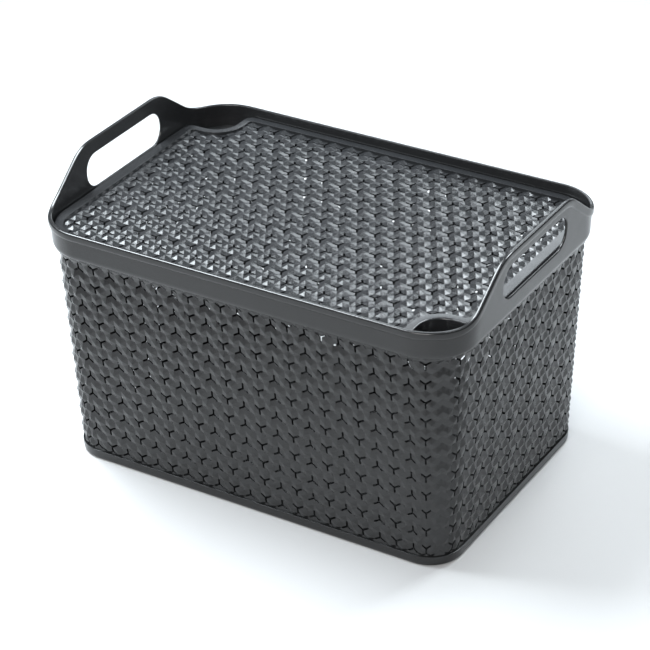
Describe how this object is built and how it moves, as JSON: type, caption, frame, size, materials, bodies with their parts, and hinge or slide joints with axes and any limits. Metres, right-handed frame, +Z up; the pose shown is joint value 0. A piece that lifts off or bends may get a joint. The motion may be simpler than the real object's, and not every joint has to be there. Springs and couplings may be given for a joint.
{
  "type": "lidded storage basket",
  "caption": "Rectangular moulded storage basket with a faux-wicker relief, hand slots in raised ends and a lift-off lid.",
  "frame": {"origin": "centre of the base, on the surface that the basket stands on", "axes": "+X along the length towards one hand slot, +Y towards a long side, +Z up"},
  "size_m": [0.4034, 0.2762, 0.263],
  "materials": {
    "basket_plastic": "charcoal moulded polypropylene with a soft sheen",
    "lid_plastic": "charcoal moulded polypropylene with a soft sheen"
  },
  "bodies": {
    "basket": {"basket": "basket_plastic"},
    "lid": {"lid": "lid_plastic"}
  },
  "joints": [
    {"name": "lid_lift", "type": "slide", "parent": "basket", "child": "lid", "axis": [0, 0, 1], "range_m": [0, 0.1]}
  ]
}
